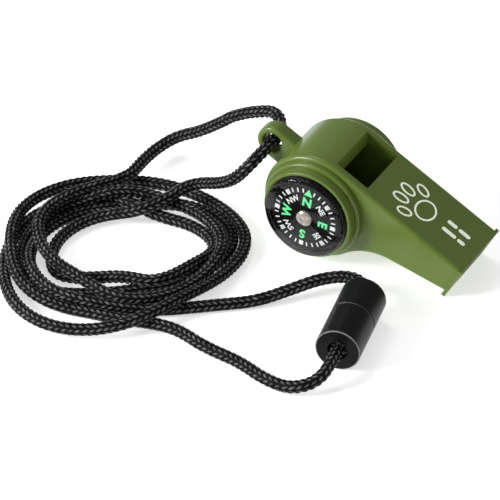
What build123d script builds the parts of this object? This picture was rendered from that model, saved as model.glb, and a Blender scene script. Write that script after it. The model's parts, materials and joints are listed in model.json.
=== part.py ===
from build123d import *
import math
import os

# Training whistle with a compass on one side and a thermometer on the other,
# lying at rest on its barrel and its mouthpiece tip, with a neck lanyard.
# Frame: +X from the lug towards the mouthpiece, +Y towards the thermometer, +Z up,
# origin on the table under the middle of the whistle's own box. Millimetres.

os.makedirs("parts", exist_ok=True)

# ---- driving dimensions of the whistle ---------------------------------------
barrel_radius = 15.2
half_width = 10.6            # half of the moulded body, across
chamber_radius = 12.0
mouth_reach = 41.1           # barrel axis to the mouthpiece's end
mouth_height = 10.2          # mouthpiece's end, with its lip
lip_drop = 1.2               # lip below the mouthpiece's underside
lip_side = 0.4               # lip proud of the sides
lip_length = 1.0
underside_slope = math.radians(14.2)
underside_from = 12.0        # where the underside's line starts, inside the barrel
underside_corner = (15.2, -0.4, 0)   # where the underside meets the barrel
underside_blend = 16.0       # hollow curve between the barrel and the underside
edge_round = 1.1
cut_past = 1.0               # how far a cut runs past the faces that it opens

window_rear = -2.2           # along the whistle, from the barrel axis
window_front = 8.15
window_width = 17.0
blade_forward = 2.1          # bevel of the sounding edge
windway_top = 2.4            # below the top face, at the window
windway_height = 2.2
windway_straight = 7.0       # parallel stretch in front of the window
windway_overlap = 0.5        # the windway's cut runs this far into the window
windway_width = 16.8
mouth_roof = 1.9             # thickness above the windway at the mouth
mouth_gap = 5.9              # height of the windway at the mouth

lug_reach = 19.7             # barrel axis to the lanyard hole
lug_rise = 0.25
lug_radius = 4.65
lug_hole_radius = 2.7
lug_thickness = 4.6
lug_round = 0.9
hole_round = 0.7

# ---- side caps and their capsules, measured outwards from the middle plane ----
cap_inner_face = 8.9
cap_seat = 10.9
flange_radius = 13.9
flange_face = 12.3
cap_lip_radius = 12.75
cap_lip_face = 14.9
cup_radius = 11.95           # pocket for the capsule
capsule_radius = 11.7
capsule_floor = 11.6
gasket_face = 13.2
lens_seat = 13.4
lens_wall = 0.9
compass_crown = 18.4         # top of the compass dome
compass_shoulder = 16.5
thermometer_crown = 16.2
thermometer_shoulder = 15.5

flange_round = 0.7
lip_round = 0.35
shoulder_round = 0.5         # where a dome meets its rim

card_radius = 9.6
card_face = 15.1
card_thickness = 0.5
hub_radius = 2.1
pivot_radius = 0.35
pivot_play = 0.05

pea_radius = 5.0
pea_play = 0.4

# ---- breakaway connector and lanyard -----------------------------------------
connector_radius = 6.0
socket_length = 13.0
plug_length = 11.4
connector_bore = 4.2
cord_hole = 2.7              # shows the knot behind it
end_wall = 1.2
cord_diameter = 3.2
knot_radius = 3.3

# ---- frame -------------------------------------------------------------------
# The whistle rests on the barrel and the lip, which sets its pitch.
tip_height = barrel_radius - mouth_height
pitch = math.asin(barrel_radius / math.hypot(mouth_reach, tip_height)) + math.atan2(
    tip_height, mouth_reach
)
cos_p, sin_p = math.cos(pitch), math.sin(pitch)
front_reach = mouth_reach * cos_p + barrel_radius * sin_p
rear_reach = lug_reach * cos_p - lug_rise * sin_p + lug_radius
axis_x = (rear_reach - front_reach) / 2
axis_y = (compass_crown - thermometer_crown) / 2
axis_point = Vector(axis_x, axis_y, barrel_radius)

# "side" looks at the compass side: its x runs to the mouthpiece, its z to the viewer.
side = Plane(origin=axis_point, x_dir=(cos_p, 0, -sin_p), z_dir=(0, -1, 0))
# "turning" holds the half profiles of everything turned about the barrel's axis.
turning = Plane(origin=axis_point, x_dir=(1, 0, 0), z_dir=(0, 0, 1))
barrel_axis = Axis(axis_point, (0, 1, 0))
NEAR, FAR = -1, 1


def save(piece, name):
    """Label a finished piece and write its STEP file."""
    piece.part.label = name
    export_step(piece.part, f"parts/{name}.step")


def half_profile(points, hand):
    """Face of a (radius, outward) outline, to be turned about the barrel's axis."""
    with BuildSketch(turning) as profile:
        with BuildLine():
            Polyline([(r, hand * out) for r, out in points], close=True)
        make_face()
    return profile.sketch


def outer_rims(piece, radius, out, hand):
    """The circular edges of one radius at one outward distance."""
    return [
        e
        for e in piece.edges().filter_by(GeomType.CIRCLE)
        if abs(e.radius - radius) < 0.01
        and abs(e.arc_center.Y - axis_y - hand * out) < 0.01
    ]


# ---- whistle body ------------------------------------------------------------
underside_end = tip_height + lip_drop
underside_fall = (mouth_reach - underside_from) * math.tan(underside_slope)
underside_start = underside_end - underside_fall
window_floor = 9.0

with BuildPart() as whistle_body:
    with BuildSketch(side.offset(-half_width)):
        Circle(barrel_radius)
        with BuildLine():
            Polyline(
                (0, barrel_radius),
                (mouth_reach, barrel_radius),
                (mouth_reach, underside_end),
                (underside_from, underside_start),
                (0, 0),
                close=True,
            )
        make_face()
        corner = vertices().sort_by_distance(Vertex(*underside_corner))[0]
        fillet(corner, underside_blend)
    extrude(amount=2 * half_width)
    flats = faces().filter_by(Axis.Y)
    fillet(flats.edges(), edge_round)
    # lip round the mouthpiece's end
    with BuildSketch(
        Plane(
            origin=side.from_local_coords(
                (mouth_reach - lip_length, tip_height + mouth_height / 2, 0)
            ),
            x_dir=(0, 1, 0),
            z_dir=side.x_dir,
        )
    ):
        Rectangle(2 * (half_width + lip_side), mouth_height)
    extrude(amount=lip_length)
    # lanyard lug at the back
    with BuildSketch(side.offset(-lug_thickness / 2)):
        with Locations((-lug_reach, lug_rise)):
            Circle(lug_radius)
        with Locations((-lug_reach / 2, lug_rise)):
            Rectangle(lug_reach, 2 * lug_radius)
    extrude(amount=lug_thickness)
    with BuildSketch(side.offset(-lug_thickness / 2)):
        with Locations((-lug_reach, lug_rise)):
            Circle(lug_hole_radius)
    extrude(amount=lug_thickness, mode=Mode.SUBTRACT)
    for rim_radius, rounding in ((lug_radius, lug_round), (lug_hole_radius, hole_round)):
        circles = edges().filter_by(GeomType.CIRCLE)
        fillet([e for e in circles if abs(e.radius - rim_radius) < 0.01], rounding)
    # sounding chamber, open to both sides
    with BuildSketch(side.offset(-half_width)):
        Circle(chamber_radius)
    extrude(amount=2 * half_width, mode=Mode.SUBTRACT)
    # air window with its bevelled sounding edge
    with BuildSketch(side.offset(-window_width / 2)):
        with BuildLine():
            Polyline(
                (window_rear, barrel_radius + cut_past),
                (window_rear, barrel_radius),
                (window_rear + blade_forward, chamber_radius),
                (window_rear + blade_forward, window_floor),
                (window_front, window_floor),
                (window_front, barrel_radius + cut_past),
                close=True,
            )
        make_face()
    extrude(amount=window_width, mode=Mode.SUBTRACT)
    # windway from the mouth to the window
    with BuildSketch(side.offset(-windway_width / 2)):
        with BuildLine():
            Polyline(
                (window_front - windway_overlap, barrel_radius - windway_top),
                (window_front + windway_straight, barrel_radius - windway_top),
                (mouth_reach + cut_past, barrel_radius - mouth_roof),
                (mouth_reach + cut_past, barrel_radius - mouth_roof - mouth_gap),
                (
                    window_front + windway_straight,
                    barrel_radius - windway_top - windway_height,
                ),
                (window_front - windway_overlap, barrel_radius - windway_top - windway_height),
                close=True,
            )
        make_face()
    extrude(amount=windway_width, mode=Mode.SUBTRACT)
save(whistle_body, "whistle_body")

# ---- side caps, pressed into the chamber from both sides ----------------------
cap_outline = [
    (0, cap_inner_face),
    (chamber_radius, cap_inner_face),
    (chamber_radius, half_width),
    (flange_radius, half_width),
    (flange_radius, flange_face),
    (cap_lip_radius, flange_face),
    (cap_lip_radius, cap_lip_face),
    (cup_radius, cap_lip_face),
    (cup_radius, cap_seat),
    (0, cap_seat),
]
for hand, cap_name in ((NEAR, "compass_cap"), (FAR, "thermometer_cap")):
    with BuildPart() as cap:
        revolve(half_profile(cap_outline, hand), axis=barrel_axis)
        fillet(outer_rims(cap.part, flange_radius, flange_face, hand), flange_round)
        fillet(outer_rims(cap.part, cap_lip_radius, cap_lip_face, hand), lip_round)
    save(cap, cap_name)

# ---- compass capsule ---------------------------------------------------------
cup_wall = 0.9
with BuildPart() as compass_cup:
    outline = half_profile(
        [
            (0, cap_seat),
            (capsule_radius, cap_seat),
            (capsule_radius, gasket_face),
            (capsule_radius - cup_wall, gasket_face),
            (capsule_radius - cup_wall, capsule_floor),
            (0, capsule_floor),
        ],
        NEAR,
    )
    revolve(outline, axis=barrel_axis)
save(compass_cup, "compass_cup")

gasket_play = 0.03
gasket_gap = (capsule_radius + gasket_play, cup_radius - gasket_play)
gasket_below_lip = 0.4
gasket_outline = [
    (capsule_radius - cup_wall, gasket_face),
    (gasket_gap[1], gasket_face),
    (gasket_gap[1], cap_lip_face - gasket_below_lip),
    (gasket_gap[0], cap_lip_face - gasket_below_lip),
    (gasket_gap[0], lens_seat),
    (capsule_radius - cup_wall, lens_seat),
]
for hand, gasket_name in ((NEAR, "compass_gasket"), (FAR, "thermometer_gasket")):
    with BuildPart() as gasket:
        revolve(half_profile(gasket_outline, hand), axis=barrel_axis)
    save(gasket, gasket_name)


def dome_arc(radius, shoulder, crown):
    """Start, middle and end of a dome's half section, from its rim to its crown."""
    rise = crown - shoulder
    sphere = (radius**2 + rise**2) / (2 * rise)
    middle = crown - sphere + math.sqrt(sphere**2 - (radius / 2) ** 2)
    return [(radius, shoulder), (radius / 2, middle), (0, crown)]


def crystal(shoulder, crown, hand, name):
    """A clear cover: a straight rim from its seat to the shoulder, then a shallow dome."""
    inner = capsule_radius - lens_wall
    outside = [(r, hand * out) for r, out in dome_arc(capsule_radius, shoulder, crown)]
    inside = [
        (r, hand * out)
        for r, out in dome_arc(inner, shoulder - lens_wall, crown - lens_wall)
    ]
    with BuildPart() as lens:
        with BuildSketch(turning):
            with BuildLine():
                ThreePointArc(*outside)
                Line(outside[2], inside[2])
                ThreePointArc(*inside)
                Polyline(
                    inside[0],
                    (inner, hand * lens_seat),
                    (capsule_radius, hand * lens_seat),
                    outside[0],
                )
            make_face()
        revolve(axis=barrel_axis)
        fillet(outer_rims(lens.part, capsule_radius, shoulder, hand), shoulder_round)
    save(lens, name)


crystal(compass_shoulder, compass_crown, NEAR, "compass_lens")
crystal(thermometer_shoulder, thermometer_crown, FAR, "thermometer_lens")

magnet_thickness = 1.0
magnet_gap = 0.1             # below the card
magnet_length = 11.0
magnet_width = 3.0
hub_stem_radius = 0.8
card_back = card_face - card_thickness
magnet_face = card_back - magnet_gap - magnet_thickness
hub_bore_depth = 0.6
hub_rise = 1.1
hub_face = card_face + hub_rise
hub_chamfer = (0.5, 0.4)     # across and down, round the hub's face
pivot_bore = pivot_radius + pivot_play
pivot_foot_radius = 1.2
pivot_foot = 0.2
pivot_tip = card_face + hub_bore_depth - pivot_play
pivot_point = 0.2            # length of the pivot's cone
with BuildPart() as compass_card:
    outline = half_profile(
        [
            (hub_stem_radius, card_back),
            (card_radius, card_back),
            (card_radius, card_face),
            (hub_stem_radius, card_face),
        ],
        NEAR,
    )
    revolve(outline, axis=barrel_axis)
save(compass_card, "compass_card")

# The hub goes through card and magnet, and turns on the pivot's tip.
with BuildPart() as compass_hub:
    outline = half_profile(
        [
            (pivot_bore, magnet_face),
            (hub_stem_radius, magnet_face),
            (hub_stem_radius, card_face),
            (hub_radius, card_face),
            (hub_radius, hub_face - hub_chamfer[1]),
            (hub_radius - hub_chamfer[0], hub_face),
            (0, hub_face),
            (0, card_face + hub_bore_depth),
            (pivot_bore, card_face + hub_bore_depth),
        ],
        NEAR,
    )
    revolve(outline, axis=barrel_axis)
save(compass_hub, "compass_hub")

with BuildPart() as compass_magnet:
    with BuildSketch(side.offset(magnet_face)):
        SlotOverall(magnet_length, magnet_width)
        Circle(hub_stem_radius, mode=Mode.SUBTRACT)
    extrude(amount=magnet_thickness)
save(compass_magnet, "compass_magnet")

with BuildPart() as compass_pivot:
    outline = half_profile(
        [
            (0, capsule_floor),
            (pivot_foot_radius, capsule_floor),
            (pivot_foot_radius, capsule_floor + pivot_foot),
            (pivot_radius, capsule_floor + pivot_foot),
            (pivot_radius, pivot_tip - pivot_point),
            (0, pivot_tip),
        ],
        NEAR,
    )
    revolve(outline, axis=barrel_axis)
save(compass_pivot, "compass_pivot")

# ---- thermometer capsule -----------------------------------------------------
dial_seat = 12.5
dial_thickness = 0.4
dial_radius = 10.75
dial_hole = 0.95
spindle_radius = 0.6
pointer_back = 13.15
pointer_thickness = 0.25
pointer_reach = 8.6
pointer_tail = 2.8
pointer_hub = 1.3
pointer_half_widths = (0.55, 0.6, 0.12)   # at its tail, at the spindle and at its tip
dial_step = 1.0              # ledge of the cup that carries the dial
spindle_play = 0.1
with BuildPart() as thermometer_cup:
    outline = half_profile(
        [
            (0, cap_seat),
            (capsule_radius, cap_seat),
            (capsule_radius, gasket_face),
            (dial_radius, gasket_face),
            (dial_radius, dial_seat),
            (dial_radius - dial_step, dial_seat),
            (dial_radius - dial_step, capsule_floor),
            (0, capsule_floor),
        ],
        FAR,
    )
    revolve(outline, axis=barrel_axis)
save(thermometer_cup, "thermometer_cup")

with BuildPart() as thermometer_dial:
    outline = half_profile(
        [
            (dial_hole, dial_seat),
            (dial_radius, dial_seat),
            (dial_radius, dial_seat + dial_thickness),
            (dial_hole, dial_seat + dial_thickness),
        ],
        FAR,
    )
    revolve(outline, axis=barrel_axis)
save(thermometer_dial, "thermometer_dial")

with BuildPart() as thermometer_spindle:
    outline = half_profile(
        [
            (0, capsule_floor + spindle_play),
            (spindle_radius, capsule_floor + spindle_play),
            (spindle_radius, pointer_back + pointer_thickness + spindle_play),
            (0, pointer_back + pointer_thickness + spindle_play),
        ],
        FAR,
    )
    revolve(outline, axis=barrel_axis)
save(thermometer_spindle, "thermometer_spindle")

# The far side's sketches face away from the chamber, towards +Y.
far_side = Plane(origin=axis_point, x_dir=(-cos_p, 0, sin_p), z_dir=(0, 1, 0))
# The dial runs from -30 to +50 degrees Celsius over 270 degrees, 10 degrees at the top,
# and the pointer rests at 20 degrees.
dial_sweep = 270
dial_span = 50 - (-30)
rest_above_middle = 20 - 10
pointer_angle = 90 - rest_above_middle * dial_sweep / dial_span
at_tail, at_spindle, at_tip = pointer_half_widths
with BuildPart() as thermometer_pointer:
    with BuildSketch(
        Plane(
            origin=axis_point + Vector(0, pointer_back, 0),
            x_dir=far_side.x_dir.rotate(Axis((0, 0, 0), (0, 1, 0)), pointer_angle),
            z_dir=(0, 1, 0),
        )
    ):
        Circle(pointer_hub)
        with BuildLine():
            Polyline(
                (-pointer_tail, -at_tail),
                (-pointer_tail, at_tail),
                (0, at_spindle),
                (pointer_reach, at_tip),
                (pointer_reach, -at_tip),
                (0, -at_spindle),
                close=True,
            )
        make_face()
        Circle(spindle_radius, mode=Mode.SUBTRACT)
    extrude(amount=pointer_thickness)
save(thermometer_pointer, "thermometer_pointer")

# Bimetal strip, wound as a flat spiral round the spindle.
coil_turns = 4.5
coil_pitch = 1.0
coil_inner = 1.1
strip_thickness = 0.3
strip_width = 0.5
strip_clearance = 0.15       # above the capsule's floor
steps_a_turn = 12


def spiral_point(turn, extra):
    """A point of the flat spiral, "turn" turns out from its inner end."""
    radius = coil_inner + coil_pitch * turn + extra
    angle = 2 * math.pi * turn
    return (radius * math.cos(angle), radius * math.sin(angle))


spiral_steps = [i / steps_a_turn for i in range(int(coil_turns * steps_a_turn) + 1)]
with BuildPart() as thermometer_coil:
    with BuildSketch(far_side.offset(capsule_floor + strip_clearance)):
        with BuildLine():
            Spline([spiral_point(t, 0) for t in spiral_steps])
            Spline([spiral_point(t, strip_thickness) for t in spiral_steps])
            Line(spiral_point(0, 0), spiral_point(0, strip_thickness))
            Line(
                spiral_point(coil_turns, 0),
                spiral_point(coil_turns, strip_thickness),
            )
        make_face()
    extrude(amount=strip_width)
save(thermometer_coil, "thermometer_coil")

# ---- pea ---------------------------------------------------------------------
pea_centre = axis_point - Vector(0, 0, chamber_radius - pea_radius - pea_play)
with BuildPart(Plane(pea_centre)) as pea:
    Sphere(pea_radius)
save(pea, "pea")

# ---- breakaway connector, lying on the table ----------------------------------
connector_along = Vector(-0.197, 0.980, 0).normalized()
socket_face = Vector(18.1, -51.1, connector_radius)
halves = Plane(
    origin=socket_face,
    x_dir=(0, 0, 1),
    z_dir=Vector(0, 0, 1).cross(connector_along),
)
connector_axis = Axis(socket_face, connector_along)
seam_gap = 0.05
plug_start = socket_length + seam_gap
connector_length = plug_start + plug_length
shell_round = 0.4
shell_bevel = shell_round * (1 - math.sqrt(0.5))   # halfway round that rounding
seam_round = 0.25
knot_play = 0.08
knot_flat = 0.8              # part of its radius where the cord leaves a knot
insert_reach = 4.5           # fingers of the snap insert inside the socket
insert_seat = 4.5            # insert's collar inside the plug
finger_inner = 3.1
finger_outer = 3.85
bump_outer = 4.05
bump_ramp = 0.8              # along the finger, up to the bump's crest
slit_width = 1.2


def connector_profile(points):
    """Face of a (radius, along) outline, to be turned about the connector's axis."""
    with BuildSketch(halves) as profile:
        with BuildLine():
            Polyline(points, close=True)
        make_face()
    return profile.sketch


def shell_outline(outer_end, joint_end):
    """Cup with a cord hole in its outer end and an open joint end."""
    inward = 1 if joint_end > outer_end else -1
    return [
        (cord_hole, outer_end),
        (connector_radius - shell_round, outer_end),
        (connector_radius - shell_bevel, outer_end + inward * shell_bevel),
        (connector_radius, outer_end + inward * shell_round),
        (connector_radius, joint_end - inward * seam_round),
        (connector_radius - seam_round, joint_end),
        (connector_bore, joint_end),
        (connector_bore, outer_end + inward * end_wall),
        (cord_hole, outer_end + inward * end_wall),
    ]


with BuildPart() as breakaway_socket:
    revolve(connector_profile(shell_outline(0, socket_length)), axis=connector_axis)
save(breakaway_socket, "breakaway_socket")

with BuildPart() as breakaway_plug:
    outline = connector_profile(shell_outline(connector_length, plug_start))
    revolve(outline, axis=connector_axis)
save(breakaway_plug, "breakaway_plug")

with BuildPart() as snap_insert:
    outline = connector_profile(
        [
            (finger_inner, plug_start - insert_reach),
            (finger_outer, plug_start - insert_reach),
            (bump_outer, plug_start - insert_reach + bump_ramp),
            (finger_outer, plug_start - insert_reach + 2 * bump_ramp),
            (finger_outer, plug_start),
            (connector_bore, plug_start),
            (connector_bore, plug_start + insert_seat),
            (finger_inner, plug_start + insert_seat),
        ]
    )
    revolve(outline, axis=connector_axis)
    slit_plane = Plane(
        origin=connector_axis.position + connector_along * (plug_start - insert_reach),
        x_dir=(0, 0, 1),
        z_dir=connector_along,
    )
    with BuildSketch(slit_plane):
        Rectangle(2 * connector_bore + cut_past, slit_width)
        Rectangle(slit_width, 2 * connector_bore + cut_past)
    extrude(amount=insert_reach, mode=Mode.SUBTRACT)
save(snap_insert, "snap_insert")

# Each cord end is tied in a knot that its half keeps behind the end wall.
socket_knot_at = end_wall + knot_play + math.sqrt(knot_radius**2 - cord_hole**2)
plug_knot_at = connector_length - socket_knot_at
for along, outward, knot_name in (
    (socket_knot_at, -1, "socket_knot"),
    (plug_knot_at, 1, "plug_knot"),
):
    middle = socket_face + connector_along * along
    knot_plane = Plane(origin=middle, x_dir=(0, 0, 1), z_dir=connector_along * outward)
    with BuildPart(knot_plane) as knot:
        Sphere(knot_radius)
        # flat where the standing cord leaves it
        split(bisect_by=knot_plane.offset(knot_radius * knot_flat), keep=Keep.BOTTOM)
    save(knot, knot_name)

# ---- lanyard ------------------------------------------------------------------
# The strands pull against the back of the lug's hole, and cross it straight.
hole_play = 0.3
hole_slack = lug_hole_radius - cord_diameter / 2 - hole_play
lug_middle = side.from_local_coords((-lug_reach - hole_slack, lug_rise, 0))
lug_straight = 4.1
socket_exit = socket_face + connector_along * (socket_knot_at - knot_radius * knot_flat)
plug_exit = socket_face + connector_along * (plug_knot_at + knot_radius * knot_flat)
end_straight = 4.4
bend_share = 0.45            # part of the shorter run that each bend may take

far_strand = [
    lug_middle,
    lug_middle + Vector(0, lug_straight, 0),
    (-33.1, 11.6, 25.0),
    (-41.3, 12.4, 21.4),
    (-50.1, 13.2, 15.2),
    (-58.5, 13.8, 8.8),
    (-64.3, 14.0, 5.8),
    (-68.1, 9.6, 4.3),
    (-69.1, 3.6, 4.2),
    (-68.7, -4.6, 5.2),
    (-69.7, -11.6, 6.2),
    (-72.3, -18.2, 6.7),
]
near_strand = [
    lug_middle,
    lug_middle - Vector(0, lug_straight, 0),
    (-30.9, -8.6, 21.6),
    (-35.1, -9.2, 15.4),
    (-40.9, -7.2, 10.0),
    (-47.7, -5.6, 7.6),
    (-53.1, -9.6, 6.6),
]
socket_tail = [
    (-32.5, -58.8, 1.7),
    (-23.7, -58.6, 1.7),
    (-14.1, -61.2, 1.7),
    (-4.1, -62.6, 1.7),
    (4.9, -66.0, 1.7),
    (12.9, -66.4, 2.0),
    (18.7, -62.2, 3.8),
    socket_exit - connector_along * end_straight,
    socket_exit,
]
plug_tail = [
    (-24.1, -44.6, 1.7),
    (-17.1, -39.8, 1.7),
    (-11.1, -33.8, 1.8),
    (-6.5, -27.4, 2.4),
    (-0.3, -22.6, 4.0),
    (7.1, -21.0, 5.4),
    plug_exit + connector_along * end_straight,
    plug_exit,
]


def bend_radii(points):
    """Each corner's arc: as large as its two runs allow."""
    at = [Vector(p) for p in points]
    radii = []
    for before, here, after in zip(at, at[1:], at[2:]):
        turn = math.radians((here - before).get_angle(after - here))
        shorter = min((here - before).length, (after - here).length)
        radii.append(bend_share * shorter / math.tan(turn / 2))
    return radii


def cord_tube(points, name):
    """Sweep the lanyard's round section along straight runs and tangent arcs."""
    radii = bend_radii(points)
    with BuildPart() as tube:
        with BuildLine() as route:
            FilletPolyline([Vector(p) for p in points], radius=radii)
        with BuildSketch(Plane(origin=route.line @ 0, z_dir=route.line % 0)):
            Circle(cord_diameter / 2)
        sweep(path=route.line)
    length = route.wires()[0].length
    expected = math.pi * (cord_diameter / 2) ** 2 * length
    print(
        name,
        "length %.1f" % length,
        "radii",
        [round(r, 1) for r in radii],
        "volume/section*length %.4f" % (tube.part.volume / expected),
    )
    save(tube, name)


cord_tube(far_strand, "lanyard_far_strand")
cord_tube(near_strand, "lanyard_near_strand")
cord_tube(socket_tail, "lanyard_socket_tail")
cord_tube(plug_tail, "lanyard_plug_tail")

# The loose coil of both strands, as one ring of its outer shape.
coil_centre = (-52.1, -33.4)
coil_outer = 33.5
coil_hole = 18.0
coil_height = 8.6
coil_top_round = 3.0
coil_foot_round = 1.2
with BuildPart() as lanyard_coil:
    with BuildSketch(Plane.XY):
        with Locations(coil_centre):
            Circle(coil_outer)
            Circle(coil_hole, mode=Mode.SUBTRACT)
    extrude(amount=coil_height)
    fillet(edges().group_by(Axis.Z)[-1], coil_top_round)
    fillet(edges().group_by(Axis.Z)[0], coil_foot_round)
save(lanyard_coil, "lanyard_coil")

print("pitch %.2f deg, barrel axis at x %.2f y %.2f" % (math.degrees(pitch), axis_x, axis_y))
print("lug middle", lug_middle, "socket exit", socket_exit, "plug exit", plug_exit)
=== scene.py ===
"""Looks of the training whistle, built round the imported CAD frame. Metres throughout."""

import json
import math

import bmesh
import bpy
import numpy as np
from mathutils import Matrix, Vector


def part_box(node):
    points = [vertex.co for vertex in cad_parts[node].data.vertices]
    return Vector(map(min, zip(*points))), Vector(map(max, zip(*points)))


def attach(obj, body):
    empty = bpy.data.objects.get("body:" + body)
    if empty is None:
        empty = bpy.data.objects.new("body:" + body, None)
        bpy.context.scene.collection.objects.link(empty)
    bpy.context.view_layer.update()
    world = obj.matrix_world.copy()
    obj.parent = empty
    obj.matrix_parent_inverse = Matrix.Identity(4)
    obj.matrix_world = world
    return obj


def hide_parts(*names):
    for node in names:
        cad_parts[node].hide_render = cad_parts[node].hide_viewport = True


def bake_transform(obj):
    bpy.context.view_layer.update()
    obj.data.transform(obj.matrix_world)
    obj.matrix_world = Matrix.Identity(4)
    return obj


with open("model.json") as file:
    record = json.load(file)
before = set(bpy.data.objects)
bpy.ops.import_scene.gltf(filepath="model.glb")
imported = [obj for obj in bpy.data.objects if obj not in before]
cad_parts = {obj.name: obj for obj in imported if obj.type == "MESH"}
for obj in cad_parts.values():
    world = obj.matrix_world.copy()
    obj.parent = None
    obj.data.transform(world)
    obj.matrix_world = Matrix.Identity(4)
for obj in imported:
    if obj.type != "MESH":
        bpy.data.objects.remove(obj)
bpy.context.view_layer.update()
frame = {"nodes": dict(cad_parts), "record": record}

MM = 0.001
Y = Vector((0, 1, 0))
JOINTS = {joint["name"]: joint for joint in frame["record"]["behaviour"]["joints"]}
MOUNTS = {mount["name"]: mount for mount in frame["record"]["mounts"]}

# The barrel's axis crosses the middle plane at AXIS. UP is square to the printed face,
# and ALONG runs down the whistle towards the mouth.
AXIS = Vector(JOINTS["pea_roll"]["pos_m"])
UP = Vector(MOUNTS["print_face"]["axis"]).normalized()
ALONG = Vector((UP.z, 0, -UP.x))


def whistle_point(along, across, up):
    """A point given in mm from the barrel's middle: down the whistle, across it and up."""
    return AXIS + (ALONG * along + Y * across + UP * up) * MM


# ---- materials ---------------------------------------------------------------
class Nodes:
    """A material's node tree with short calls to add and link nodes."""

    def __init__(self, name):
        self.material = bpy.data.materials.new(name)
        self.material.use_nodes = True
        self.tree = self.material.node_tree
        self.shader = self.tree.nodes["Principled BSDF"]
        self.output = self.tree.nodes["Material Output"]
        self.place = self.add("ShaderNodeTexCoord").outputs["Object"]

    def add(self, kind, **inputs):
        node = self.tree.nodes.new(kind)
        for key, value in inputs.items():
            node.inputs[key.replace("_", " ")].default_value = value
        return node

    def link(self, source, target):
        self.tree.links.new(source, target)

    def noise(self, scale, detail=3.0, source=None, roughness=0.55):
        node = self.add("ShaderNodeTexNoise", Scale=scale, Detail=detail, Roughness=roughness)
        self.link(source or self.place, node.inputs["Vector"])
        return node.outputs["Fac"]

    def ramp(self, factor, stops):
        """A colour ramp through (position, colour) stops."""
        node = self.add("ShaderNodeValToRGB")
        elements = node.color_ramp.elements
        while len(elements) < len(stops):
            elements.new(0.5)
        for element, (position, colour) in zip(elements, stops):
            element.position = position
            element.color = (*colour, 1)
        self.link(factor, node.inputs["Fac"])
        return node.outputs["Color"]

    def span(self, factor, low, high, start=0.3, end=0.7):
        """factor's start..end mapped to low..high."""
        node = self.add("ShaderNodeMapRange")
        node.inputs["From Min"].default_value = start
        node.inputs["From Max"].default_value = end
        node.inputs["To Min"].default_value = low
        node.inputs["To Max"].default_value = high
        self.link(factor, node.inputs["Value"])
        return node.outputs["Result"]

    def bump(self, height, distance, strength=1.0, after=None):
        node = self.add("ShaderNodeBump", Strength=strength, Distance=distance)
        self.link(height, node.inputs["Height"])
        if after is not None:
            self.link(after, node.inputs["Normal"])
        self.link(node.outputs["Normal"], self.shader.inputs["Normal"])
        return node.outputs["Normal"]

    def maths(self, operation, *values):
        """A Math node on sockets or plain numbers."""
        node = self.add("ShaderNodeMath")
        node.operation = operation
        self.feed(node, values)
        return node.outputs[0]

    def vectors(self, operation, *values, output="Vector"):
        """A Vector Math node on sockets or plain vectors."""
        node = self.add("ShaderNodeVectorMath")
        node.operation = operation
        self.feed(node, values)
        return node.outputs[output]

    def feed(self, node, values):
        for socket, value in zip(node.inputs, values):
            if isinstance(value, bpy.types.NodeSocket):
                self.link(value, socket)
            else:
                socket.default_value = value

    def attribute(self, name):
        node = self.add("ShaderNodeAttribute")
        node.attribute_name = name
        return node

    def set(self, **inputs):
        for key, value in inputs.items():
            self.shader.inputs[key.replace("_", " ")].default_value = value


def shade(colour, factor):
    return tuple(min(1.0, c * factor) for c in colour)


def surface(name, colour, rough, spread=0.08, grain=900.0, depth=0.004, vary=0.12, **inputs):
    """A moulded or painted surface: colour drifts, gloss varies and the skin has a fine grain."""
    n = Nodes(name)
    drift = n.noise(120.0, 2.0)
    stops = [(0.3, shade(colour, 1 - vary)), (0.7, shade(colour, 1 + vary))]
    n.link(n.ramp(drift, stops), n.shader.inputs["Base Color"])
    fine = n.noise(grain, 4.0)
    n.link(n.span(fine, rough - spread, rough + spread), n.shader.inputs["Roughness"])
    n.bump(fine, depth * MM)
    n.set(**inputs)
    return n.material


def olive_plastic():
    """Glossy moulded plastic with slight sink marks and a fine skin."""
    n = Nodes("olive_plastic")
    olive = (0.112, 0.176, 0.022)
    drift = n.noise(55.0, 3.0)
    stops = [(0.25, shade(olive, 0.93)), (0.75, shade(olive, 1.07))]
    n.link(n.ramp(drift, stops), n.shader.inputs["Base Color"])
    fine = n.noise(1500.0, 4.0)
    n.link(n.span(fine, 0.24, 0.35), n.shader.inputs["Roughness"])
    waves = n.bump(n.noise(160.0, 2.0), 0.03 * MM, 0.35)
    n.bump(fine, 0.004 * MM, 0.7, after=waves)
    n.set(Specular_IOR_Level=0.45, Coat_Weight=0.15, Coat_Roughness=0.15)
    return n.material


def braided_cord():
    """Black polyester yarn, with painted highlights in grey on the stitches' crowns and painted shade,
    near black, in the grooves between the stitches.
    """
    n = Nodes("lanyard_cord")
    crown_shading = n.attribute("crown_shading").outputs["Fac"]
    yarn = n.attribute("yarn").outputs["Vector"]
    scale = n.add("ShaderNodeMapping")
    scale.inputs["Scale"].default_value = (9.0, 0.9, 1.0)
    n.link(yarn, scale.inputs["Vector"])
    fibres = n.noise(1.0, 3.0, source=scale.outputs["Vector"])
    patches = n.noise(420.0, 2.0)
    lit = n.maths("ADD", crown_shading, n.span(fibres, -0.30, 0.30))
    lit = n.maths("ADD", lit, n.span(patches, -0.14, 0.14))
    # Painted shade in the grooves rising to painted highlights on the crowns, varied by the fibres and
    # patches.
    stops = [
        (0.0, (0.0010, 0.0010, 0.0011)),
        (0.36, (0.0050, 0.0050, 0.0052)),
        (0.64, (0.030, 0.030, 0.0305)),
        (1.0, (0.19, 0.19, 0.192)),
    ]
    n.link(n.ramp(lit, stops), n.shader.inputs["Base Color"])
    n.link(n.span(fibres, 0.42, 0.62), n.shader.inputs["Roughness"])
    n.bump(fibres, 0.05 * MM, 0.8)
    n.set(Specular_IOR_Level=0.10)
    return n.material


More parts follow.
